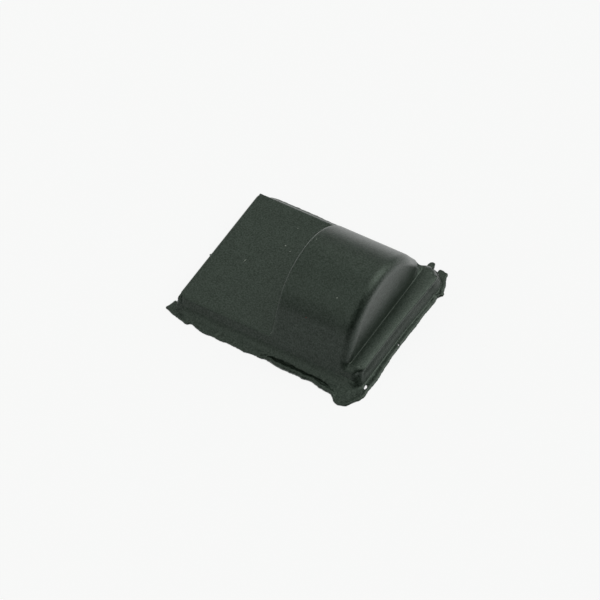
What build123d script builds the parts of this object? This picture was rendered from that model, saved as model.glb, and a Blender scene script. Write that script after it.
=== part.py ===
from build123d import *
import os
from math import cos, radians, sin, tan

# A bump stop, compression-moulded in one piece of rubber: a flat pad with a crowned bumper across one end.
#
# X runs along the pad, Y across it and Z up. The origin is the middle of the moulded underside, on Z = 0.
# The two long sides are flanks that lean in at one slope from the underside to the crown, through pad and
# bumper alike. So the bumper is as wide as the pad, with no step between its sides and the pad's.

# Pad. Its length and width are those of its top face, before the edges are rounded.
pad_length = 35.0
pad_width = 24.6
pad_height = 2.65
flank_slope = 60.0  # degrees from the underside
left_end_draft = 4.5  # degrees that the left end wall leans in from the vertical
right_end_draft = 10.7  # and the right end wall
left_corner_radius = 0.8  # upright corners of the long left end
left_rim_radius = 0.4  # edge of the pad's top, which carries on up and over the bumper's square face
right_rim_radius = 0.6  # edge of the right end wall, corners and ledge

# Bumper. It stands on the pad between a square face on its left and a softly rounded end face on its right.
bumper_height = 10.0  # top of the crown above the pad
bumper_length = 14.55
ledge_width = 2.6  # pad left bare beyond the rounded end face
ledge_rise = 0.22  # how much higher the ledge lies at the end face than at the right end
ledge_bulge = 0.15  # how far its middle swells above a straight slope
crest_radius = 1.6  # edge of the end face against crown and flanks, and of the ledge's two short sides
foot_radius = 0.4  # hollow where the square face meets the pad
groove_radius = 0.4  # hollow where the end face meets the ledge

# Flash, the thin torn skirt that the mould's parting line left round the underside. Each pair is a share of
# that side's length and the share of flash_reach that the torn edge stands out there. The sides follow each
# other anticlockwise, seen from above.
flash_thickness = 0.3
flash_reach = 3.6
near_flash = (
    (-0.01, 0.11), (0.01, 0.17), (0.05, 0.28), (0.09, 0.36), (0.105, 0.39), (0.115, 0.28),
    (0.135, 0.31), (0.19, 0.47), (0.25, 0.42), (0.29, 0.46), (0.35, 0.42), (0.42, 0.5),
    (0.45, 0.43), (0.5, 0.44), (0.53, 0.39), (0.6, 0.5), (0.68, 0.53), (0.77, 0.49),
    (0.83, 0.61), (0.89, 0.64), (0.925, 0.92), (0.945, 1.0), (0.96, 0.94), (0.985, 0.89),
)
right_flash = (
    (-0.06, 0.08), (-0.03, 0.25), (0.0, 0.28), (0.035, 0.25), (0.12, 0.31), (0.25, 0.21), (0.38, 0.17),
    (0.67, 0.17), (0.79, 0.25), (0.83, 0.24), (0.855, 0.42), (0.895, 0.25), (0.94, 0.14), (0.98, 0.08),
)
far_flash = (
    (0.015, 0.06), (0.075, 0.11), (0.105, 0.35), (0.14, 0.15), (0.3, 0.12), (0.5, 0.14),
    (0.62, 0.11), (0.75, 0.14), (0.8, 0.08), (0.91, 0.14), (0.965, 0.11),
)
left_flash = (
    (0.02, 0.19), (0.14, 0.3), (0.3, 0.25), (0.5, 0.27), (0.535, 0.34), (0.6, 0.26),
    (0.8, 0.27), (0.93, 0.23), (0.97, 0.33), (1.0, 0.41), (1.005, 0.36),
)

# What follows from the sizes above.
slope = radians(flank_slope)
base_width = pad_width + 2 * pad_height / tan(slope)
left_foot_x = -pad_length / 2 - pad_height * tan(radians(left_end_draft))
right_foot_x = pad_length / 2 + pad_height * tan(radians(right_end_draft))
base_length = right_foot_x - left_foot_x
total_height = pad_height + bumper_height
# The crown is the one arc that reaches the full height and runs into both flanks without a crease.
crown_radius = (pad_width / 2 * sin(slope) - bumper_height * cos(slope)) / (1 - cos(slope))
shoulder_y = crown_radius * sin(slope)
shoulder_z = total_height - crown_radius * (1 - cos(slope))
end_face_x = pad_length / 2 - ledge_width
square_face_x = end_face_x - bumper_length
groove_z = pad_height + ledge_rise
swell_x = pad_length / 2 - ledge_width / 2
swell_z = pad_height + ledge_rise / 2 + ledge_bulge


def torn_edge(start: Vector, along: Vector, length: float, flash: tuple) -> list:
    """Corners of the torn edge along one side of the underside, which runs from start along a direction."""
    outward = along.rotate(Axis.Z, -90)
    return [start + along * (place * length) + outward * (share * flash_reach) for place, share in flash]


with BuildPart() as bump_stop:
    # Seen from the side: the pad, and the bumper with the hollows at its feet.
    with BuildSketch(Plane.XZ) as elevation:
        with BuildLine():
            Polyline(
                (pad_length / 2, pad_height),
                (right_foot_x, 0),
                (left_foot_x, 0),
                (-pad_length / 2, pad_height),
                (square_face_x, pad_height),
                (square_face_x, total_height),
                (end_face_x, total_height),
                (end_face_x, groove_z),
            )
            ThreePointArc((end_face_x, groove_z), (swell_x, swell_z), (pad_length / 2, pad_height))
        make_face()
        fillet(elevation.vertices().sort_by_distance((square_face_x, pad_height))[0], radius=foot_radius)
        fillet(elevation.vertices().sort_by_distance((end_face_x, groove_z))[0], radius=groove_radius)
    extrude(amount=base_width / 2, both=True)

    # Seen from the end: two straight flanks under the crown. What both views share is the block.
    with BuildSketch(Plane.YZ):
        with BuildLine():
            Polyline(
                (-shoulder_y, shoulder_z),
                (-base_width / 2, 0),
                (base_width / 2, 0),
                (shoulder_y, shoulder_z),
            )
            ThreePointArc((shoulder_y, shoulder_z), (0, total_height), (-shoulder_y, shoulder_z))
        make_face()
    extrude(amount=base_length, both=True, mode=Mode.INTERSECT)

    # Rounding. Each of the last three runs on by itself round every edge that its own edge leads into.
    left_end = bump_stop.faces().sort_by(Axis.X)[0]
    fillet(left_end.edges().filter_by(Axis.Y, reverse=True), radius=left_corner_radius)
    crown_edges = bump_stop.edges().filter_by(GeomType.CIRCLE).group_by(Axis.Z)[-1].sort_by(Axis.X)
    fillet(crown_edges[0], radius=left_rim_radius)
    fillet(crown_edges[-1], radius=crest_radius)
    right_end = bump_stop.faces().sort_by(Axis.X)[-1]
    fillet(right_end.edges().sort_by(Axis.Z)[-1], radius=right_rim_radius)

    # Flash, a thin plate that grows out of the underside's edges.
    near_left, near_right = Vector(left_foot_x, -base_width / 2), Vector(right_foot_x, -base_width / 2)
    far_left, far_right = Vector(left_foot_x, base_width / 2), Vector(right_foot_x, base_width / 2)
    with BuildSketch():
        with BuildLine():
            Polyline(
                *torn_edge(near_left, Vector(1, 0), base_length, near_flash),
                *torn_edge(near_right, Vector(0, 1), base_width, right_flash),
                *torn_edge(far_right, Vector(-1, 0), base_length, far_flash),
                *torn_edge(far_left, Vector(0, -1), base_width, left_flash),
                close=True,
            )
        make_face()
    extrude(amount=flash_thickness)

bump_stop.part.label = "bump_stop"

os.makedirs("parts", exist_ok=True)
export_step(bump_stop.part, "parts/bump_stop.step")
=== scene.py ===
"""A compression-moulded rubber bump stop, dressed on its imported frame.

The block is one piece of satin black rubber: a flat pad, a crowned bumper across one end of it with a groove and a
bare ledge beyond, and a torn skirt of flash round the foot. X runs along the pad, Y across it and Z up, and the
origin is the middle of the moulded underside. Sizes are in millimetres until a mesh is finished, when it is scaled
to metres in one step.
"""

from __future__ import annotations

import logging
import math
from dataclasses import dataclass, field
from enum import Enum

import bmesh
import bpy
from bmesh.types import BMEdge, BMesh, BMVert
from bpy.types import Material, Node, NodeSocket, NodeTree, Object
from mathutils import Matrix, Vector, noise

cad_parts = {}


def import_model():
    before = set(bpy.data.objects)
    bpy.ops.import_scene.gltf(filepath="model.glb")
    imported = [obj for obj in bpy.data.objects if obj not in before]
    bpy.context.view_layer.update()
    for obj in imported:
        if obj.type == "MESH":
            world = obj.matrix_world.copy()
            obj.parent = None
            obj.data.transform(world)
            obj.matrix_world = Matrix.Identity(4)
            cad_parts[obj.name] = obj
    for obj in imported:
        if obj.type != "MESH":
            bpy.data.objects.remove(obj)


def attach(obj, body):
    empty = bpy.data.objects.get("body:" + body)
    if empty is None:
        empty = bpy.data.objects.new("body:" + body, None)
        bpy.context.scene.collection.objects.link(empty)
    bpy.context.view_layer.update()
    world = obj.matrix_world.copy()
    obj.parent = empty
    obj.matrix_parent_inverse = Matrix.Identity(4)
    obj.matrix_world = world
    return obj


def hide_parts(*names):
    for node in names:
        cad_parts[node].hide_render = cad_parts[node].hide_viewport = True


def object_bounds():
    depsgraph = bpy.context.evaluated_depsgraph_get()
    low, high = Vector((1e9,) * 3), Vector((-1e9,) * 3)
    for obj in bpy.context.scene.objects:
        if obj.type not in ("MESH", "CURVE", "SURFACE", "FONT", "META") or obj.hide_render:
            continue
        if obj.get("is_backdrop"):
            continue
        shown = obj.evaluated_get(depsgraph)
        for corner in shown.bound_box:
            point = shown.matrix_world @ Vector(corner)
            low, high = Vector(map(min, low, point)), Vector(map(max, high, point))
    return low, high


LOG = logging.getLogger("bump_stop")
MM = 0.001
NODE = "bump_stop"
BODY = "root"
# Vertex attribute that paints shade into the flash's near slot, standing in for the dark of the recess
SLOT_PAINTED_SHADE = "slot_painted_shade"
HAIR = 1e-3  # places and normals this near count as the same
TOUCH = 1e-4  # points this near are one
CUT = 1e-5  # a plane runs through corners this near
WHITE = (1.0, 1.0, 1.0, 1.0)


# ---- Small helpers


def ease(value: float, span: tuple, start: float = 0.0) -> float:
    """Ease from 0 to 1 while a value crosses a span.

    Args:
        value: Value to place on the step.
        span: Where the step starts and where it ends.
        start: What the span is measured from.

    Returns:
        The height of the step, 0 to 1.
    """
    low, high = start + span[0], start + span[1]
    share = min(max((value - low) / (high - low), 0.0), 1.0)
    return share * share * (3.0 - 2.0 * share)


def rumple(place: Vector, waves: tuple) -> float:
    """Add up waves of noise at a place.

    Args:
        place: The place in millimetres.
        waves: The size and the pitch of each wave.

    Returns:
        Their sum.
    """
    return sum(size * noise.noise(place * pitch) for size, pitch in waves)


def middle_of(edge: BMEdge) -> Vector:
    """Middle point of an edge."""
    return (edge.verts[0].co + edge.verts[1].co) / 2


def object_from(bm: BMesh, name: str, material: Material) -> Object:
    """Turn a finished bmesh in millimetres into a smooth-shaded object in metres at the origin.

    Args:
        bm: The mesh, which is freed.
        name: Name of the piece.
        material: Its one material.

    Returns:
        The linked object.
    """
    bmesh.ops.scale(bm, vec=(MM, MM, MM), verts=bm.verts)
    for face in bm.faces:
        face.smooth = True
    mesh = bpy.data.meshes.new(name)
    bm.to_mesh(mesh)
    bm.free()
    mesh.materials.append(material)
    piece = bpy.data.objects.new(name, mesh)
    bpy.context.scene.collection.objects.link(piece)
    return piece


# ---- Finishes


class Nodes:
    """A short way to write a material's or a world's node tree."""

    def __init__(self, tree: NodeTree) -> None:
        """Empty the tree and keep it.

        Args:
            tree: The node tree to fill.
        """
        self.tree = tree
        tree.nodes.clear()

    def fill(self, socket: NodeSocket, value: object) -> None:
        """Set an input socket, or link it where the value is another node's output.

        Args:
            socket: The input socket.
            value: The value or the output socket.
        """
        if isinstance(value, NodeSocket):
            self.tree.links.new(value, socket)
        else:
            socket.default_value = value

    def add(self, kind: str, **values: object) -> Node:
        """Add a node and set its properties, or its input sockets where it has no such property.

        Args:
            kind: The node's Blender type.
            values: Property or socket values by name, with underscores for spaces.

        Returns:
            The new node.
        """
        node = self.tree.nodes.new(kind)
        for key, value in values.items():
            if hasattr(node, key):
                setattr(node, key, value)
            else:
                self.fill(node.inputs[key.replace("_", " ")], value)
        return node

    def maths(self, operation: str, first: object, second: object) -> NodeSocket:
        """Reckon with two numbers.

        Args:
            operation: The Math node's operation.
            first: The first number or output socket.
            second: The second one.

        Returns:
            The result's socket.
        """
        node = self.add("ShaderNodeMath", operation=operation)
        self.fill(node.inputs[0], first)
        self.fill(node.inputs[1], second)
        return node.outputs["Value"]

    def mottle(self, size_mm: float, detail: float, roughness: float = 0.5) -> NodeSocket:
        """Add noise that lies still in the object.

        Args:
            size_mm: Size of its patches.
            detail: How many finer layers it has.
            roughness: How strong they are.

        Returns:
            The noise's socket, 0 to 1.
        """
        place = self.add("ShaderNodeTexCoord").outputs["Object"]
        node = self.add("ShaderNodeTexNoise", Vector=place, Scale=1.0 / (size_mm * MM), Detail=detail)
        node.inputs["Roughness"].default_value = roughness
        return node.outputs["Fac"]

    def spread(self, value: NodeSocket, source: tuple, target: tuple, kind: str = "LINEAR") -> NodeSocket:
        """Carry a number from one range over to another and hold it there.

        Args:
            value: The number's socket.
            source: Ends of the range that it comes from.
            target: Ends of the range that it goes to.
            kind: The Map Range node's interpolation.

        Returns:
            The result's socket.
        """
        node = self.add("ShaderNodeMapRange", interpolation_type=kind, Value=value, From_Min=source[0],
                        From_Max=source[1], To_Min=target[0], To_Max=target[1])
        return node.outputs["Result"]


@dataclass(frozen=True)
class RubberFinish:
    """Satin black rubber with a fine moulded grain, a slight mottle and a faint green-grey cast, and painted shade in
    the flash's near slot.
    """

    name: str = "black_rubber"
    dark: tuple = (0.0008, 0.0050, 0.0014, 1.0)
    pale: tuple = (0.0195, 0.0290, 0.0225, 1.0)
    tone_span: tuple = (0.40, 0.60)
    roughness: tuple = (0.36, 0.46)
    roughness_span: tuple = (0.3, 0.7)
    index: float = 1.5
    specular: float = 0.5
    cast: tuple = (0.80, 1.0, 0.84, 1.0)
    film: tuple = (0.3, 0.9)
    film_span: tuple = (0.35, 0.65)
    # Share of the reflections left where the slot's painted shade is full
    slot_shade_gloss_share: float = 0.25
    grain_mm: float = 0.26
    mottle_mm: float = 1.6
    mottle_share: float = 0.25
    grain_depth_mm: float = 0.018
    swell_depth_mm: float = 0.012

    def build(self) -> Material:
        """Make the material, with painted shade in the flash's near slot: darker and duller where the slot's painted
        shade attribute is set.

        Returns:
            The node material.
        """
        material = bpy.data.materials.new(self.name)
        material.use_nodes = True
        nodes = Nodes(material.node_tree)
        grain = nodes.mottle(self.grain_mm, detail=3.0, roughness=0.6)
        mottle = nodes.mottle(self.mottle_mm, detail=4.0, roughness=0.55)
        skin = nodes.add("ShaderNodeMix", data_type="FLOAT", Factor=self.mottle_share, A=grain, B=mottle)
        skin = skin.outputs["Result"]
        tone = nodes.add("ShaderNodeValToRGB", Fac=skin)
        for stop, position, colour in zip(tone.color_ramp.elements, self.tone_span, (self.dark, self.pale)):
            stop.position, stop.color = position, colour
        # Painted shade: the flash's near slot is mixed to the dark rubber colour and its reflections dimmed, standing
        # in for shade in the recess
        torn = nodes.add("ShaderNodeAttribute", attribute_name=SLOT_PAINTED_SHADE).outputs["Fac"]
        colour = nodes.add("ShaderNodeMix", data_type="RGBA", Factor=torn)
        nodes.fill(colour.inputs[6], tone.outputs["Color"])
        nodes.fill(colour.inputs[7], self.dark)
        gloss = nodes.spread(torn, (0.0, 1.0), (1.0, self.slot_shade_gloss_share))
        film = nodes.spread(grain, self.film_span, self.film)
        roughness = nodes.spread(skin, self.roughness_span, self.roughness)
        swell = nodes.add("ShaderNodeBump", Strength=1.0, Distance=self.swell_depth_mm * MM, Height=mottle)
        fine = nodes.add("ShaderNodeBump", Strength=1.0, Distance=self.grain_depth_mm * MM, Height=grain,
                         Normal=swell.outputs["Normal"]).outputs["Normal"]
        shader = nodes.add("ShaderNodeBsdfPrincipled", Base_Color=colour.outputs[2], Roughness=roughness,
                           IOR=self.index, Specular_IOR_Level=nodes.maths("MULTIPLY", gloss, self.specular),
                           Specular_Tint=self.cast, Coat_Weight=nodes.maths("MULTIPLY", gloss, film),
                           Coat_Roughness=roughness, Coat_IOR=self.index, Normal=fine, Coat_Normal=fine)
        nodes.add("ShaderNodeOutputMaterial", Surface=shader.outputs["BSDF"])
        return material


@dataclass(frozen=True)
class FloorFinish:
    """A plain white floor that keeps the block's soft shadow."""

    name: str = "studio_floor"
    white: float = 0.9
    camera_share: float = 0.86
    mirror_share: float = 0.97

    def build(self) -> Material:
        """Make the material.

        Returns:
            The node material.
        """
        material = bpy.data.materials.new(self.name)
        material.use_nodes = True
        nodes = Nodes(material.node_tree)
        ray = nodes.add("ShaderNodeLightPath").outputs
        seen = nodes.maths("MAXIMUM", nodes.maths("MULTIPLY", ray["Is Camera Ray"], self.camera_share),
                           nodes.maths("MULTIPLY", ray["Is Glossy Ray"], self.mirror_share))
        matt = nodes.add("ShaderNodeBsdfDiffuse", Color=(self.white, self.white, self.white, 1.0))
        glow = nodes.add("ShaderNodeEmission", Color=WHITE, Strength=1.0)
        floor = nodes.add("ShaderNodeMixShader", Fac=seen)
        nodes.fill(floor.inputs[1], matt.outputs["BSDF"])
        nodes.fill(floor.inputs[2], glow.outputs["Emission"])
        nodes.add("ShaderNodeOutputMaterial", Surface=floor.outputs["Shader"])
        return material


# ---- The block


@dataclass
class Block:
    """The pad and bumper: what the side view and the end view share, with every edge rounded.

    Lengths are in millimetres and angles in degrees, and the height comes from the frame. A pair is a span over which
    a change comes in: along X from the end face, across from the middle, or up from the ledge or the floor.
    """

    height: float
    pad_length: float = 35.0
    pad_width: float = 24.6
    pad_height: float = 2.65
    flank_slope: float = 60.0
    left_draft: float = 4.5
    right_run: float = 0.5
    end_steepness: float = 2.4
    bumper_length: float = 14.55
    ledge_width: float = 2.6
    ledge_rise: float = 0.22
    ledge_bulge: float = 0.15
    wall_profile: tuple = ((-0.07, 1.80), (-0.01, 1.25), (0.17, 0.65))
    near_turn: float = 1.6
    far_turn: float = 1.9
    far_turn_growth: float = 1.7
    turn_ease: tuple = (0.15, 0.8)
    turn_above: float = 0.2
    far_sag: float = 0.16
    sag_across: tuple = (1.0, 8.0)
    sag_up: tuple = (0.0, 3.0)
    far_draw: float = 0.8
    draw_along: tuple = (-4.0, 0.0)
    draw_across: tuple = (6.5, 12.0)
    draw_up: tuple = (-0.1, 0.6)
    far_dip: float = 0.9
    dip_starts: tuple = (-3.6, -2.0)
    dip_ends: tuple = (-1.8, 0.2)
    dip_across: tuple = (8.0, 12.2)
    dip_up: tuple = (0.0, 0.7)
    dip_foot: tuple = (0.0, 2.4)
    dip_foot_share: float = 0.7
    far_splay: float = 0.4
    splay_across: tuple = (-2.0, 11.0)
    splay_from: float = 0.5
    foot_radius: float = 0.4
    groove_radius: float = 0.12
    rim_radius: float = 0.4
    left_corner_radius: float = 1.3
    crest_radius: float = 1.6
    right_rim_radius: float = 0.32
    crown_facets: int = 48
    foot_steps: int = 6
    groove_steps: int = 8
    crest_steps: int = 10
    rim_steps: int = 5
    ledge_stops: tuple = (0.12, 0.26, 0.42, 0.58, 0.73)
    sharp_angle: float = 17.2
    along_share: float = 0.99
    upright_share: float = 0.5
    wall_band: float = 0.15
    upright_top: float = 1.9
    slice_step: float = 0.5
    slice_margin: float = 0.25
    fine_step: float = 0.13
    fine_along: tuple = (0.31, 0.24)
    fine_across: tuple = (0.02, 3.2)
    pleat_x: float = 16.2
    pleat_y: float = 11.2
    pleat_z: tuple = (1.2, 2.8)
    pleat_passes: int = 40
    ripple: float = 0.012
    ripple_size: float = 3.0
    ripple_up: tuple = (0.0, 0.6)
    halvings: int = 12
    left_foot_x: float = field(init=False)
    right_foot_x: float = field(init=False)
    base_width: float = field(init=False)
    crown_radius: float = field(init=False)
    end_face_x: float = field(init=False)
    square_face_x: float = field(init=False)
    centre_split: float = field(init=False)

    def __post_init__(self) -> None:
        """Work out the sizes that follow from the given ones."""
        slope = math.radians(self.flank_slope)
        self.left_foot_x = -self.pad_length / 2 - self.pad_height * math.tan(math.radians(self.left_draft))
        self.right_foot_x = self.pad_length / 2 + self.right_run
        self.base_width = self.pad_width + 2 * self.pad_height / math.tan(slope)
        rise = self.height - self.pad_height
        self.crown_radius = (self.pad_width / 2 * math.sin(slope) - rise * math.cos(slope)) / (1 - math.cos(slope))
        self.end_face_x = self.pad_length / 2 - self.ledge_width
        self.square_face_x = self.end_face_x - self.bumper_length
        self.centre_split = (self.end_face_x + self.square_face_x) / 2

    def elevation(self) -> BMesh:
        """Extrude the side view right across the mould.

        Returns:
            A closed prism that is wider than the block.
        """
        half, top = self.pad_length / 2, self.pad_height
        wall = [(half + out, height) for out, height in self.wall_profile]
        corners = [
            (self.left_foot_x, 0.0), (-half, top), (self.square_face_x, top), (self.square_face_x, self.height),
            (self.end_face_x, self.height), (self.end_face_x, top + self.ledge_rise), *self.ledge_run(), (half, top),
            *wall, (self.right_foot_x, 0.0),
        ]
        bm = bmesh.new()
        outer = self.base_width
        side = [bm.verts.new((x, -outer, z)) for x, z in corners]
        bm.faces.new(side)
        foot, groove = side[2], side[5]
        for corner, radius, steps in ((foot, self.foot_radius, self.foot_steps),
                                      (groove, self.groove_radius, self.groove_steps)):
            bmesh.ops.bevel(bm, geom=[corner], offset=radius, offset_type="OFFSET", segments=steps, profile=0.5,
                            affect="VERTICES", material=-1)
        grown = bmesh.ops.extrude_face_region(bm, geom=bm.faces[:])
        moved = [item for item in grown["geom"] if isinstance(item, BMVert)]
        bmesh.ops.translate(bm, vec=(0.0, 2 * outer, 0.0), verts=moved)
        bmesh.ops.recalc_face_normals(bm, faces=bm.faces)
        return bm

    @staticmethod
    def plane_off(bm: BMesh, point: Vector, normal: Vector) -> None:
        """Cut away what lies beyond a plane and close the cut with one face.

        Args:
            bm: The mesh to cut.
            point: A point on the plane.
            normal: The plane's normal, towards the waste.
        """
        everything = bm.verts[:] + bm.edges[:] + bm.faces[:]
        cut = bmesh.ops.bisect_plane(bm, geom=everything, dist=CUT, plane_co=point, plane_no=normal,
                                     clear_outer=True)
        rim = [item for item in cut["geom_cut"] if isinstance(item, BMEdge)]
        bmesh.ops.holes_fill(bm, edges=rim, sides=0)

    def cut_section(self, bm: BMesh) -> None:
        """Plane the prism down to the end view: two flanks and a crown that runs into them.

        Args:
            bm: The extruded side view.
        """
        centre = Vector((0.0, 0.0, self.height - self.crown_radius))
        for step in range(self.crown_facets + 1):
            angle = math.radians(self.flank_slope) * (2 * step / self.crown_facets - 1)
            normal = Vector((0.0, math.sin(angle), math.cos(angle)))
            self.plane_off(bm, centre + normal * self.crown_radius, normal)
        bmesh.ops.recalc_face_normals(bm, faces=bm.faces)

    @staticmethod
    def round_edges(bm: BMesh, radii: dict, segments: int) -> BMesh:
        """Round edges, each to its own radius whatever angle its faces meet at.

        Args:
            bm: The mesh, which is freed.
            radii: Radius by edge.
            segments: Steps across each rounding.

        Returns:
            The rounded mesh.
        """
        bm.edges.index_update()
        setbacks = {edge.index: radius * math.tan(edge.calc_face_angle() / 2) for edge, radius in radii.items()}
        widest = max(setbacks.values())
        weights = bm.edges.layers.float.new("bevel_weight_edge")
        bm.edges.ensure_lookup_table()
        for index, setback in setbacks.items():
            bm.edges[index][weights] = setback / widest
        mesh = bpy.data.meshes.new("rounding")
        bm.to_mesh(mesh)
        bm.free()
        work = bpy.data.objects.new("rounding", mesh)
        bpy.context.scene.collection.objects.link(work)
        bevel = work.modifiers.new("round", "BEVEL")
        bevel.limit_method = "WEIGHT"
        bevel.offset_type = "OFFSET"
        bevel.width = widest
        bevel.segments = segments
        bevel.profile = 0.5
        bevel.use_clamp_overlap = False
        bevel.miter_outer = "MITER_SHARP"
        depsgraph = bpy.context.evaluated_depsgraph_get()
        rounded = bmesh.new()
        rounded.from_mesh(work.evaluated_get(depsgraph).to_mesh())
        layer = rounded.edges.layers.float.get("bevel_weight_edge")
        if layer is not None:
            rounded.edges.layers.float.remove(layer)
        bpy.data.objects.remove(work)
        bpy.data.meshes.remove(mesh)
        return rounded

    def border_edges(self, bm: BMesh) -> list:
        """Find the edges where the side view's outline meets a flank or the crown, above the foot.

        Args:
            bm: The mesh.

        Returns:
            The edges.
        """
        found = []
        for edge in bm.edges:
            if len(edge.link_faces) != 2 or min(v.co.z for v in edge.verts) < TOUCH:
                continue
            across = [abs(face.normal.y) < HAIR for face in edge.link_faces]
            level = [abs(face.normal.x) < HAIR and not flat for face, flat in zip(edge.link_faces, across)]
            top_of_crown = [face.calc_center_median().z > self.height - HAIR for face in edge.link_faces]
            outline = [flat and not crown for flat, crown in zip(across, top_of_crown)]
            body = [lv or crown for lv, crown in zip(level, top_of_crown)]
            if (outline[0] and body[1]) or (outline[1] and body[0]):
                found.append(edge)
        return found

    def shape(self) -> BMesh:
        """Cut the block to shape and round its edges.

        Returns:
            The closed mesh in millimetres.
        """
        bm = self.elevation()
        self.cut_section(bm)
        half = self.pad_length / 2
        crest = {edge: self.crest_radius for edge in self.border_edges(bm)
                 if middle_of(edge).x > self.centre_split and max(v.co.x for v in edge.verts) < half + HAIR}
        bm = self.round_edges(bm, crest, self.crest_steps)
        rims = {edge: self.rim_radius for edge in self.border_edges(bm) if middle_of(edge).x < self.centre_split}
        for edge in bm.edges:
            if len(edge.link_faces) != 2 or edge.calc_face_angle() <= math.radians(self.sharp_angle):
                continue
            middle, run = middle_of(edge), edge.verts[0].co - edge.verts[1].co
            along = abs(run.y) > self.along_share * run.length
            upright = abs(run.z) > self.upright_share * run.length
            if middle.z < TOUCH or (along and min(v.co.z for v in edge.verts) < TOUCH):
                continue
            if upright and middle.x > 0 and middle.z < self.upright_top:
                continue
            if middle.x < HAIR - half:
                rims[edge] = self.rim_radius if along else self.left_corner_radius
            if middle.x > half - self.wall_band and (not along or middle.z > self.pad_height - HAIR):
                rims[edge] = self.right_rim_radius
        return self.round_edges(bm, rims, self.rim_steps)

    def ease_right_end(self, bm: BMesh) -> None:
        """Turn the pad's right corners in plan, and draw the far end of the bumper's end face and the groove in.

        Args:
            bm: The sliced block.
        """
        ledge = self.pad_height + self.ledge_rise
        for vert in bm.verts:
            x, y, z = vert.co
            vert.co.z -= self.far_sag * ease(y, self.sag_across) * ease(z, self.sag_up, ledge)
            back = ease(x, self.draw_along, self.end_face_x) * ease(y, self.draw_across)
            vert.co.x -= self.far_draw * back * ease(z, self.draw_up, ledge)
            waist = ease(x, self.dip_starts, self.end_face_x)
            waist *= 1.0 - ease(x, self.dip_ends, self.end_face_x)
            waist *= ease(y, self.dip_across) * (1.0 - ease(z, self.dip_up, ledge))
            foot = self.dip_foot_share + (1.0 - self.dip_foot_share) * ease(z, self.dip_foot)
            vert.co.y -= self.far_dip * waist * foot
            turn = self.turn_at(y, min(z, self.pad_height))
            along = x - (self.wall_at(min(z, self.pad_height)) - turn)
            across = abs(y) - (self.flank_at(z) - turn)
            if along <= 0 or across <= 0 or z > ledge + self.turn_above or x < self.end_face_x:
                continue
            at_end, at_side = self.rounded_off(self.ledge_top(x) - z)
            share_end, share_side = along / (turn - at_end), across / (turn - at_side)
            outer = max(share_end, share_side)
            pull = (1.0 - outer / math.hypot(share_end, share_side)) * ease(outer, self.turn_ease)
            vert.co.x -= along * pull
            vert.co.y -= math.copysign(across * pull, y)
        end = (self.end_face_x + self.splay_from, self.pad_length / 2)
        for vert in bm.verts:
            vert.co.x += self.splay_at(vert.co.y) * ease(vert.co.x, end)

    def flank_at(self, height: float) -> float:
        """How far from the middle the flanks stand at a height."""
        return self.base_width / 2 - height / math.tan(math.radians(self.flank_slope))

    def ledge_top(self, x: float) -> float:
        """Find the ledge's upper face at a place along X, its line carried on past the rim.

        Args:
            x: Place along X.

        Returns:
            The face's height.
        """
        points = [(self.end_face_x, self.pad_height + self.ledge_rise), *self.ledge_run(),
                  (self.pad_length / 2, self.pad_height)]
        for (start, high), (end, low) in zip(points, points[1:]):
            if x <= end:
                return high + (low - high) * (x - start) / (end - start)
        return self.pad_height

    def ledge_run(self) -> list:
        """Follow the ledge's slight swell, between the groove and the rim.

        Returns:
            Its points as (x, z).
        """
        run = []
        for share in self.ledge_stops:
            rise = self.ledge_rise * (1 - share) + 4 * self.ledge_bulge * share * (1 - share)
            run.append((self.end_face_x + self.ledge_width * share, self.pad_height + rise))
        return run

    def rounded_off(self, depth: float) -> tuple:
        """How much the roundings take off the ledge's sides at a depth below its top.

        Args:
            depth: Depth below the ledge's upper face.

        Returns:
            What the rim takes off the end, and what the crest's rounding takes off the flank.
        """
        depth = max(depth, 0.0)
        rim, crest, slope = self.right_rim_radius, self.crest_radius, math.radians(self.flank_slope)
        at_end = rim - math.sqrt(rim * rim - (rim - depth) ** 2) if depth < rim else 0.0
        at_side = 0.0
        if depth < crest * (1 - math.cos(slope)):
            over = crest - depth
            at_side = crest / math.sin(slope) - over / math.tan(slope) - math.sqrt(crest * crest - over * over)
        return at_end, at_side

    def turn_at(self, y: float, height: float) -> float:
        """Find the radius in plan of the pad's right corner on the near or the far side.

        Args:
            y: Place across, of which only the side counts.
            height: Height above the floor.

        Returns:
            The radius.
        """
        if y < 0:
            return self.near_turn
        return self.far_turn + self.far_turn_growth * (1.0 - height / self.pad_height)

    def splay_at(self, y: float) -> float:
        """How far the right wall leans out towards its far end."""
        return self.far_splay * ease(y, self.splay_across)

    def height_over(self, point: Vector, limit: float) -> float:
        """Height of the wall above a point near its foot, negative outside it.

        Args:
            point: The place in plan.
            limit: The greatest height to give.

        Returns:
            The height in millimetres.
        """
        gentle = math.tan(math.radians(self.flank_slope))
        side = self.base_width / 2 - abs(point.y)
        end = self.right_foot_x + self.splay_at(point.y) - point.x

        def holds(height: float) -> bool:
            """Tell whether the block's section takes the point in.

            Args:
                height: The section's height.

            Returns:
                True inside it.
            """
            near_side, near_end = side - height / gentle, end - height / self.end_steepness
            turn = self.turn_at(point.y, height)
            if near_side < turn and near_end < turn:
                return math.hypot(turn - near_side, turn - near_end) < turn
            return min(near_side, near_end) > 0

        if not holds(0.0):
            turn = self.turn_at(point.y, 0.0)
            if side < turn and end < turn:
                return (turn - math.hypot(turn - side, turn - end)) * gentle
            return min(side * gentle, end * self.end_steepness)
        low, high = 0.0, limit
        for _halving in range(self.halvings):
            middle = (low + high) / 2
            low, high = (middle, high) if holds(middle) else (low, middle)
        return low

    def wall_at(self, height: float) -> float:
        """Where the right wall stands at a height.

        Args:
            height: Height above the floor.

        Returns:
            The place along X.
        """
        profile = [(0.0, self.pad_height), *self.wall_profile, (self.right_run, 0.0)]
        for (out_high, high), (out_low, below) in zip(profile, profile[1:]):
            if height >= below:
                share = min(max((height - below) / (high - below), 0.0), 1.0)
                return self.pad_length / 2 + out_low + (out_high - out_low) * share
        return self.right_foot_x

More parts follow.
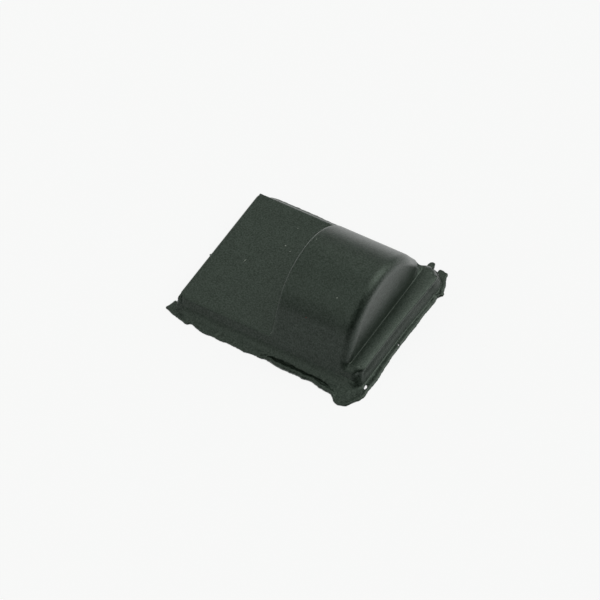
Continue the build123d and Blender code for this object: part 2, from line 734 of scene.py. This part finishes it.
    def soften(self, bm: BMesh) -> None:
        """Slice the big faces, ease the right end and give the moulded surface its slight unevenness.

        Args:
            bm: The shaped block.
        """
        half_length, half_width = self.pad_length / 2, self.base_width / 2
        along, across, up = Vector((1, 0, 0)), Vector((0, 1, 0)), Vector((0, 0, 1))
        groove_gap, rim_gap = self.fine_along
        edge_gap, band = self.fine_across
        spans = (
            (along, self.left_foot_x, half_length - self.slice_margin, self.slice_step),
            (across, -half_width, half_width, self.slice_step),
            (up, 0.0, self.height, self.slice_step),
            (along, self.end_face_x + groove_gap, half_length - rim_gap, self.fine_step),
            (across, edge_gap - half_width, band - half_width, self.fine_step),
            (across, half_width - band, half_width - edge_gap, self.fine_step),
        )
        for axis, low, high, step in spans:
            cuts = int((high - low) / step)
            for cut in range(1, cuts):
                everything = bm.verts[:] + bm.edges[:] + bm.faces[:]
                point = axis * (low + (high - low) * cut / cuts)
                bmesh.ops.bisect_plane(bm, geom=everything, dist=CUT, plane_co=point, plane_no=axis)
        self.ease_right_end(bm)
        bottom, top = self.pleat_z
        pleats = [vert for vert in bm.verts
                  if vert.co.x > self.pleat_x and abs(vert.co.y) > self.pleat_y and bottom < vert.co.z < top]
        for _pass in range(self.pleat_passes):
            bmesh.ops.smooth_vert(bm, verts=pleats, factor=0.5, use_axis_x=True, use_axis_y=True, use_axis_z=True)
        bm.normal_update()
        shifts = {}
        for vert in bm.verts:
            drift = noise.noise(vert.co / self.ripple_size)
            shifts[vert] = vert.normal * (drift * self.ripple * ease(vert.co.z, self.ripple_up))
        for vert, shift in shifts.items():
            vert.co += shift

    def build(self, material: Material) -> Object:
        """Model the block and dress it.

        Args:
            material: The rubber.

        Returns:
            The finished piece.
        """
        bm = self.shape()
        self.soften(bm)
        piece = object_from(bm, "moulded_block", material)
        weigh = piece.modifiers.new("weigh", "WEIGHTED_NORMAL")
        weigh.keep_sharp = True
        return piece


# ---- The torn flash


@dataclass
class FlashSkirt:
    """The thin web of rubber squeezed out round the foot and torn off unevenly.

    The torn edge runs anticlockwise from the far side, in stretches of one curl, each with its points (x, y). The curl
    is the share of the lip's height that the edge stands up by, beyond the slot. The slot is points (x, y, width)
    along its middle, and each hole is its corners. A pair is a span, and a wave of noise is its size and pitch.
    """

    block: Block
    flank_top: float = 2.4
    thickness: float = 0.26
    edge_thickness: float = 0.14
    taper: float = 0.22
    lip_height: float = 0.45
    lip_width: float = 0.50
    lip_fall: float = 0.35
    lip_round: tuple = (0.0, 0.3)
    lip_edge_share: float = 0.45
    slot_floor: float = 0.03
    slot_blur: float = 0.06
    slot_opening: float = 5.0
    fair_size: float = 0.9
    end_fair: float = 0.30
    fair_ends: tuple = (0.3, 2.5)
    fair_far: tuple = (4.0, 9.0)
    fair_corner_across: tuple = (9.5, 12.0)
    fair_corner_along: tuple = (1.0, 5.0)
    root_inset: float = 1.0
    root_corner: float = 0.8
    root_sink: float = 0.10
    root_rise: tuple = (0.0, 0.3)
    root_leave: float = 0.8
    root_samples: int = 1200
    root_step: float = 0.012
    station_step: float = 0.12
    wall_rings: int = 5
    full_reach: float = 2.2
    tatters: tuple = ((0.09, 1.0), (0.06, 3.3))
    lumps: tuple = ((0.04, 1.3), (0.025, 4.0))
    lumps_from: tuple = (0.0, 0.4)
    lip_rings: tuple = (
        0.0, 0.05, 0.12, 0.22, 0.34, 0.46, 0.56, 0.65, 0.74, 0.83, 0.92, 1.01, 1.10, 1.19, 1.28, 1.37, 1.48, 1.62, 1.8,
    )
    seed: float = 4.7
    edge: tuple = (
        (0, ((0, 13.95), (-8.91, 14.2), (-10.27, 14.2), (-11.09, 14.2), (-12.25, 14.2), (-14.4, 14.2), (-16.3, 14.1),
            (-17.1, 13.75), (-17.95, 13.1), (-18.15, 10), (-18.3, 6), (-18.35, 2), (-18.45, -0.4), (-18.96, -1.03),
            (-18.5, -1.6), (-18.35, -5), (-18.15, -9.3), (-17.98, -11.1), (-17.8, -12.2), (-17.7, -12.75),
            (-18.12, -12.55), (-18.56, -11.8), (-18.73, -12.39), (-18.93, -12.98), (-19.17, -13.82),
            (-18.32, -14.22), (-17.58, -14.46), (-16.85, -14.68), (-16.17, -14.82), (-15.5, -14.95),
            (-14.77, -15.17), (-14.16, -15.23), (-13.83, -14.86), (-13.2, -14.89), (-12.45, -15.16),
            (-11.72, -15.39), (-11.05, -15.54), (-9.9, -15.48), (-8.8, -15.38), (-7.6, -15.52), (-6.5, -15.42),
            (-5.3, -15.42), (-4.15, -15.48), (-3.45, -15.62), (-2.86, -15.67), (-1.9, -15.4), (-0.1, -15.47))),
        (0.5, ((0.94, -15.3),)),
        (0.75, ((2.2, -15.5), (3.5, -15.65), (4.7, -15.72), (6.5, -15.76), (7.5, -15.66), (8.1, -15.75))),
        (0.6, ((9.8, -15.63), (10.4, -15.73), (11.1, -15.89), (11.8, -16.08))),
        (0.35, ((14.1, -16.24),)),
        (0.1, ((15.37, -17.41), (16.08, -17.64), (16.53, -17.47), (17.53, -17.28), (17.83, -16.79), (18.03, -16.22),
            (18.41, -15.67), (18.81, -15.33), (19.06, -14.7))),
        (0.12, ((19.21, -13.92), (19.11, -12.85), (19.16, -12.08), (19.23, -10.6), (19.16, -9.7), (19.09, -8.8),
            (18.95, -7.05), (18.84, -5.2), (18.81, -3.3), (18.81, 0), (18.81, 4.7), (18.91, 6.6))),
        (0.35, ((18.95, 8.2),)),
        (0.3, ((18.86, 8.8),)),
        (0.2, ((19.13, 9.4), (19.46, 9.65), (19.42, 10.21), (19.18, 10.35), (19.1, 10.75), (18.84, 11.32))),
        (0.1, ((18.56, 12.11),)),
        (0, ((18.18, 12.65), (17.93, 13.23), (17.85, 13.65), (17.6, 14.12), (17.2, 14), (16.71, 14.18),
            (16.06, 14.12), (16.2, 13.6), (16.36, 13.05), (15.95, 13.2), (15.5, 13.45), (15.1, 13.7), (15.05, 14.2),
            (14.88, 14.8), (14.4, 15), (13.98, 14.8), (13.92, 14.3), (13.75, 13.55), (12.9, 13.3), (12.3, 13),
            (11.5, 12.95), (10.5, 13.4), (9.5, 13.75), (8, 13.85))),
    )
    slots: tuple = (
        (1.0, -14.92, 0), (1.3, -14.78, 0.28), (1.9, -14.58, 0.41), (2.8, -14.75, 0.72), (3.5, -14.65, 0.72),
        (4.3, -14.66, 0.73), (5.0, -14.59, 0.66), (5.8, -14.61, 0.5), (6.6, -14.77, 0.53), (7.4, -14.76, 0.56),
        (8.2, -14.78, 0.59), (8.9, -14.76, 0.3), (9.6, -14.63, 0.25), (10.4, -14.70, 0.25), (11.2, -14.71, 0.29),
        (12.0, -14.80, 0.23), (12.9, -15.02, 0.17), (13.3, -15.14, 0),
    )
    holes: tuple = (
        ((18.51, -12.99), (18.19, -12.70), (18.02, -12.05), (18.39, -11.89), (18.70, -12.54)),
        ((18.28, -2.80), (18.56, -2.72), (18.56, -2.30), (18.32, -2.28)),
    )

    def stations(self) -> list:
        """Walk the torn edge at an even step, with a fine tattered unevenness.

        Returns:
            A closed run of (point, curl), the first not repeated.
        """
        corners = [(Vector((x, y, 0.0)), curl) for curl, stretch in self.edge for x, y in stretch]
        walk = []
        for (start, curl), (end, next_curl) in zip(corners, corners[1:] + corners[:1]):
            span = end - start
            steps = max(1, round(span.length / self.station_step))
            for step in range(steps):
                share = step / steps
                walk.append((start + span * share, curl + (next_curl - curl) * share))
        eased = []
        for here, (point, curl) in enumerate(walk):
            before, after = walk[here - 1][0], walk[(here + 1) % len(walk)][0]
            middle = (before + point + after) / 3
            outward = (after - before).normalized().cross(Vector((0.0, 0.0, 1.0)))
            tatter = rumple(Vector((middle.x, middle.y, self.seed)), self.tatters)
            eased.append((middle + outward * tatter, curl))
        return eased

    def roots(self, walk: list) -> list:
        """Find each station's place on the outline just inside the wall, never going back along it.

        Args:
            walk: The stations.

        Returns:
            A point for each station.
        """
        corner = self.root_corner
        half_x = (self.block.right_foot_x - self.block.left_foot_x) / 2 - self.root_inset - corner
        half_y = self.block.base_width / 2 - self.root_inset - corner
        mid_x = (self.block.right_foot_x + self.block.left_foot_x) / 2
        arc = corner * math.pi / 2
        sides = [2 * half_x, 2 * half_y, 2 * half_x, 2 * half_y]
        centres = [(mid_x - half_x, half_y), (mid_x - half_x, -half_y), (mid_x + half_x, -half_y),
                   (mid_x + half_x, half_y)]
        along = [(-1, 0), (0, -1), (1, 0), (0, 1)]
        around = sum(sides) + 4 * arc

        def point_at(place: float) -> Vector:
            """Walk round the rounded rectangle.

            Args:
                place: Distance from the far right end of the far side.

            Returns:
                The point there.
            """
            place %= around
            for side, (x, y), (ax, ay) in zip(sides, centres, along):
                ox, oy = ay, -ax
                if place <= side:
                    back = side - place
                    return Vector((x + ox * corner - ax * back, y + oy * corner - ay * back, 0.0))
                place -= side
                if place <= arc:
                    turn = place / corner
                    return Vector((x + corner * (ox * math.cos(turn) + ax * math.sin(turn)),
                                   y + corner * (oy * math.cos(turn) + ay * math.sin(turn)), 0.0))
                place -= arc
            return point_at(0.0)

        ring = []
        for sample in range(self.root_samples):
            place = around * sample / self.root_samples
            ring.append((place, point_at(place)))
        places = []
        for point, _curl in walk:
            near = min(ring, key=lambda item: (item[1] - point).length_squared)[0]
            if places:
                lap = round((places[-1] - near) / around)
                near += lap * around
                near = max(near, places[-1] + self.root_step)
            places.append(near)
        return [point_at(place) for place in places]

    def fair_at(self, point: Vector) -> float:
        """How widely the web blends into the wall at a place.

        Args:
            point: The place in plan.

        Returns:
            The size of the blend in millimetres.
        """
        from_left, from_right = point.x - self.block.left_foot_x, self.block.right_foot_x - point.x
        fair = self.fair_size * ease(from_left, self.fair_ends)
        if point.y > 0:
            fair *= 1.0 - ease(point.x, self.fair_far)
        fair += (self.end_fair - fair) * (1.0 - ease(from_right, self.fair_ends))
        corner = ease(point.y, self.fair_corner_across) * (1.0 - ease(from_right, self.fair_corner_along))
        return fair * (1.0 - corner)

    def slot_at(self, point: Vector) -> float:
        """How far the near slot is open at a place, which also sets how much painted shade the slot gets.

        Args:
            point: The place in plan.

        Returns:
            1 along the slot's middle, falling to 0 outside it.
        """
        for (start, here, wide), (end, there, narrow) in zip(self.slots, self.slots[1:]):
            if start <= point.x <= end and point.y < 0:
                share = (point.x - start) / (end - start)
                width = wide + (narrow - wide) * share
                apart = abs(point.y - (here + (there - here) * share))
                brink = (max(width / 2 - self.slot_blur, 0.0), width / 2 + self.slot_blur)
                return (1.0 - ease(apart, brink)) * min(1.0, width * self.slot_opening)
        return 0.0

    def height_at(self, out: float, reach: float, curl: float, point: Vector) -> float:
        """Height of the web's upper face.

        Args:
            out: Distance from the root.
            reach: Distance from the root to the torn edge.
            curl: Share of the lip's height at this station.
            point: The place in plan.

        Returns:
            The height in millimetres.
        """
        inward = reach - out
        place = Vector((point.x, point.y, self.seed))
        web = self.thickness + (self.edge_thickness - self.thickness) * (1.0 - ease(inward, (0.0, self.taper)))
        web += rumple(place, self.lumps) * ease(out, self.lumps_from, self.root_inset)
        wall, fair = self.block.height_over(point, self.flank_top), self.fair_at(point)
        upper = web
        if fair > 0:
            blend = (wall + web + math.hypot(wall - web, fair)) / 2
            leave = ease(out, (0.0, self.root_inset * self.root_leave))
            upper = max(wall, web) + (blend - max(wall, web)) * leave
            upper -= self.root_sink * (1.0 - ease(out, self.root_rise))
        rounding = self.lip_edge_share + (1.0 - self.lip_edge_share) * ease(inward, self.lip_round)
        fall = 1.0 - ease(inward, (0.0, self.lip_fall), self.lip_width)
        upper += self.lip_height * curl * rounding * fall
        return upper + (self.slot_floor - upper) * self.slot_at(point)

    def ring_places(self, reach: float) -> list:
        """Distances from the root at which the rings lie, close together over the lip and its slot.

        Args:
            reach: Distance from the root to the torn edge.

        Returns:
            Distances from 0 to reach.
        """
        squeeze = min(1.0, reach / self.full_reach)
        outer = [reach - inward * squeeze for inward in self.lip_rings]
        first = outer[-1]
        inner = [first * step / self.wall_rings for step in range(self.wall_rings)]
        return inner + outer[::-1]

    def pierce(self, bm: BMesh) -> None:
        """Tear the small holes right through the web.

        Args:
            bm: The closed web.
        """
        for hole in self.holes:
            corners = [Vector(corner) for corner in hole]
            sides = list(zip(corners, corners[1:] + corners[:1]))
            torn = []
            for face in bm.faces:
                middle = face.calc_center_median().xy
                turns = [(end - start).cross(middle - start) for start, end in sides]
                if max(turns) < 0 or min(turns) > 0:
                    torn.append(face)
            bmesh.ops.delete(bm, geom=torn, context="FACES")
            loose = [edge for edge in bm.edges if edge.is_boundary]
            bmesh.ops.bridge_loops(bm, edges=loose)

    def build(self, material: Material) -> Object:
        """Model the web.

        Args:
            material: The rubber.

        Returns:
            The finished piece.
        """
        walk = self.stations()
        roots = self.roots(walk)
        count = len(walk)
        rows = self.wall_rings + len(self.lip_rings)
        bm = bmesh.new()
        # Layer for the near slot's painted shade
        slot_painted_shade = bm.verts.layers.float.new(SLOT_PAINTED_SHADE)
        bmesh.ops.create_grid(bm, x_segments=count, y_segments=2 * rows, size=1.0)
        places = [self.ring_places((edge - root).length) for (edge, _curl), root in zip(walk, roots)]
        for vert in bm.verts:
            column = round((vert.co.x + 1.0) / 2.0 * count) % count
            row = round((vert.co.y + 1.0) * rows) % (2 * rows)
            top = row < rows
            row = row if top else 2 * rows - 1 - row
            edge, curl = walk[column]
            root = roots[column]
            reach = (edge - root).length
            out = places[column][row]
            plan = root + (edge - root) * (out / reach)
            vert.co = (plan.x, plan.y, self.height_at(out, reach, curl, plan) if top else 0.0)
            # Painted shade of the near slot, read by the rubber to darken it
            vert[slot_painted_shade] = self.slot_at(plan) if top else 0.0
        bmesh.ops.remove_doubles(bm, verts=bm.verts, dist=TOUCH)
        self.pierce(bm)
        bmesh.ops.recalc_face_normals(bm, faces=bm.faces)
        return object_from(bm, "torn_flash", material)


# ---- Dust


class Speck(Enum):
    """Kinds of dust, with their colours."""

    PALE = (0.42, 0.44, 0.40, 1.0)
    RUST = (0.16, 0.07, 0.06, 1.0)


@dataclass(frozen=True)
class DustFinish:
    """Dry, matt dust."""

    kind: Speck
    roughness: tuple = (0.8, 0.9)
    specular: float = 0.2
    shade: float = 0.6
    clump_mm: float = 0.15
    bump_mm: float = 0.01

    def build(self) -> Material:
        """Make the material.

        Returns:
            The node material.
        """
        material = bpy.data.materials.new(f"dust_{self.kind.name.lower()}")
        material.use_nodes = True
        nodes = Nodes(material.node_tree)
        clumps = nodes.mottle(self.clump_mm, detail=2.0)
        tone = nodes.add("ShaderNodeValToRGB", Fac=clumps)
        tone.color_ramp.elements[0].color = tuple(self.shade * part for part in self.kind.value[:3]) + (1.0,)
        tone.color_ramp.elements[1].color = self.kind.value
        bump = nodes.add("ShaderNodeBump", Strength=1.0, Distance=self.bump_mm * MM, Height=clumps)
        shader = nodes.add("ShaderNodeBsdfPrincipled", Base_Color=tone.outputs["Color"],
                           Roughness=nodes.spread(clumps, (0.0, 1.0), self.roughness),
                           Specular_IOR_Level=self.specular, Normal=bump.outputs["Normal"])
        nodes.add("ShaderNodeOutputMaterial", Surface=shader.outputs["BSDF"])
        return material


@dataclass
class Dust:
    """A few specks of dust and one short fibre, lying on the rubber.

    Each speck is its x and y, its length, width and turn in degrees.
    """

    block: Block
    thickness: float = 0.06
    specks: tuple = (
        (Speck.PALE, -7.57, 4.80, 0.30, 0.24, 20.0), (Speck.PALE, -6.25, 4.07, 0.20, 0.18, 70.0),
        (Speck.PALE, -7.73, 8.85, 0.20, 0.14, 10.0), (Speck.PALE, 1.25, 1.81, 0.20, 0.16, 45.0),
        (Speck.PALE, 9.90, -5.95, 0.26, 0.22, 0.0), (Speck.PALE, -11.73, -1.04, 0.75, 0.09, 75.0),
        (Speck.RUST, 5.90, -9.49, 0.34, 0.22, 15.0),
    )

    def surface_at(self, x: float, y: float) -> tuple:
        """Where the block's upper surface lies over a place in plan, and which way it faces.

        Args:
            x: Place along X.
            y: Place across Y.

        Returns:
            The height, and the surface's lean away from level about X in radians.
        """
        if x < self.block.square_face_x:
            return self.block.pad_height, 0.0
        radius, slope = self.block.crown_radius, math.radians(self.block.flank_slope)
        if abs(y) > radius * math.sin(slope):
            return (self.block.base_width / 2 - abs(y)) * math.tan(slope), -math.copysign(slope, y)
        return self.block.height - radius + math.sqrt(radius * radius - y * y), -math.asin(y / radius)

    def build(self) -> list:
        """Model the specks, one piece for each kind.

        Returns:
            The finished pieces.
        """
        pieces = []
        for kind in Speck:
            bm = bmesh.new()
            for sort, x, y, length, width, turn in self.specks:
                if sort is not kind:
                    continue
                height, lean = self.surface_at(x, y)
                placed = (Matrix.Translation((x, y, height)) @ Matrix.Rotation(lean, 4, "X")
                          @ Matrix.Rotation(math.radians(turn), 4, "Z")
                          @ Matrix.Diagonal((length / 2, width / 2, self.thickness, 1.0)))
                bmesh.ops.create_icosphere(bm, subdivisions=2, radius=1.0, matrix=placed)
            bmesh.ops.recalc_face_normals(bm, faces=bm.faces)
            pieces.append(object_from(bm, f"dust_{kind.name.lower()}", DustFinish(kind).build()))
        return pieces


# ---- The studio


@dataclass
class Studio:
    """A white floor under soft, even light, and the camera.

    Each glow is its azimuth, elevation and reach in degrees, and its level.
    """

    azimuth: float = 38.11
    elevation: float = 50.47
    roll: float = -7.54
    lens_mm: float = 360.0
    distance_mm: float = 974.5
    aim_mm: tuple = (-0.447, 0.368, 2.638)
    aim_right_mm: float = -1.283
    aim_up_mm: float = -3.216
    sensor_mm: float = 36.0
    clip_m: tuple = (0.01, 10.0)
    floor_size_mm: float = 1600.0
    glows: tuple = (
        (135, 30, 30, 1.40), (135, 55, 32, 1.44), (105, 30, 30, 0.18), (180, 55, 32, 0.72),
        (240, 80, 35, 0.47), (240, 6, 30, 0.80), (270, 6, 30, 0.72), (195, 30, 30, 0.23),
        (225, 30, 30, 0.24), (315, 30, 30, 0.65), (315, 55, 32, 0.44), (0, 55, 32, 0.25),
        (270, 55, 32, 0.10), (180, 7, 26, 0.30), (335, 20, 24, 0.16),
    )
    tint: tuple = (0.94, 1.0, 0.93, 1.0)

    def floor(self) -> Object:
        """Lay the floor.

        Returns:
            The floor, which isn't part of the object.
        """
        bm = bmesh.new()
        bmesh.ops.create_grid(bm, x_segments=1, y_segments=1, size=self.floor_size_mm / 2)
        return object_from(bm, "studio_floor", FloorFinish().build())

    def world(self) -> None:
        """Light the scene with soft glows in the sky, and put white behind the object."""
        world = bpy.data.worlds.new("studio")
        world.use_nodes = True
        bpy.context.scene.world = world
        nodes = Nodes(world.node_tree)
        sky = nodes.add("ShaderNodeTexCoord").outputs["Generated"]
        total = 0.0
        for azimuth, elevation, reach, level in self.glows:
            facing = nodes.add("ShaderNodeVectorMath", operation="DOT_PRODUCT")
            nodes.fill(facing.inputs[0], sky)
            nodes.fill(facing.inputs[1], self.bearing(azimuth, elevation))
            edge = math.cos(math.radians(reach))
            glow = nodes.spread(facing.outputs["Value"], (edge, 1.0), (0.0, level), "SMOOTHSTEP")
            total = nodes.maths("ADD", total, glow)
        soft = nodes.add("ShaderNodeBackground", Color=self.tint, Strength=total)
        white = nodes.add("ShaderNodeBackground", Color=WHITE, Strength=1.0)
        path = nodes.add("ShaderNodeLightPath")
        light = nodes.add("ShaderNodeMixShader", Fac=path.outputs["Is Camera Ray"])
        nodes.fill(light.inputs[1], soft.outputs["Background"])
        nodes.fill(light.inputs[2], white.outputs["Background"])
        nodes.add("ShaderNodeOutputWorld", Surface=light.outputs["Shader"])

    @staticmethod
    def bearing(azimuth: float, elevation: float) -> Vector:
        """Unit vector from the object towards a bearing and height in degrees."""
        a, e = math.radians(azimuth), math.radians(elevation)
        return Vector((math.sin(a) * math.cos(e), -math.cos(a) * math.cos(e), math.sin(e)))

    def camera(self) -> None:
        """Set the long lens, looking down on the block, with its slight lean."""
        back = self.bearing(self.azimuth, self.elevation)
        level = Vector((math.cos(math.radians(self.azimuth)), math.sin(math.radians(self.azimuth)), 0.0))
        upright = back.cross(level)
        lean = math.radians(self.roll)
        right = level * math.cos(lean) + upright * math.sin(lean)
        up = upright * math.cos(lean) - level * math.sin(lean)
        data = bpy.data.cameras.new("camera")
        data.lens = self.lens_mm
        data.sensor_width = self.sensor_mm
        data.clip_start, data.clip_end = self.clip_m
        camera = bpy.data.objects.new("camera", data)
        aim = Vector(self.aim_mm) + right * self.aim_right_mm + up * self.aim_up_mm
        turn = Matrix((right, up, back)).transposed()
        camera.matrix_world = Matrix.Translation((aim + back * self.distance_mm) * MM) @ turn.to_4x4()
        bpy.context.scene.collection.objects.link(camera)
        bpy.context.scene.camera = camera

    def build(self) -> None:
        """Lay the floor, light it and set the camera."""
        self.floor()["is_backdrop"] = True
        self.world()
        self.camera()
        bpy.context.scene.view_settings.view_transform = "Standard"


def main() -> None:
    """Build the bump stop on its frame and report each piece."""
    logging.basicConfig(level=logging.INFO, format="%(name)s: %(message)s")
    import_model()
    low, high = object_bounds()
    rubber = RubberFinish().build()
    shape = Block(height=high.z / MM)
    block = shape.build(rubber)
    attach(block, BODY)
    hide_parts(NODE)
    skirt = FlashSkirt(block=shape).build(rubber)
    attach(skirt, BODY)
    specks = Dust(block=shape).build()
    for speck in specks:
        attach(speck, BODY)
    for piece in (block, skirt, *specks):
        LOG.info("%s: %d faces", piece.name, len(piece.data.polygons))
    Studio().build()


if __name__ == "__main__":
    main()
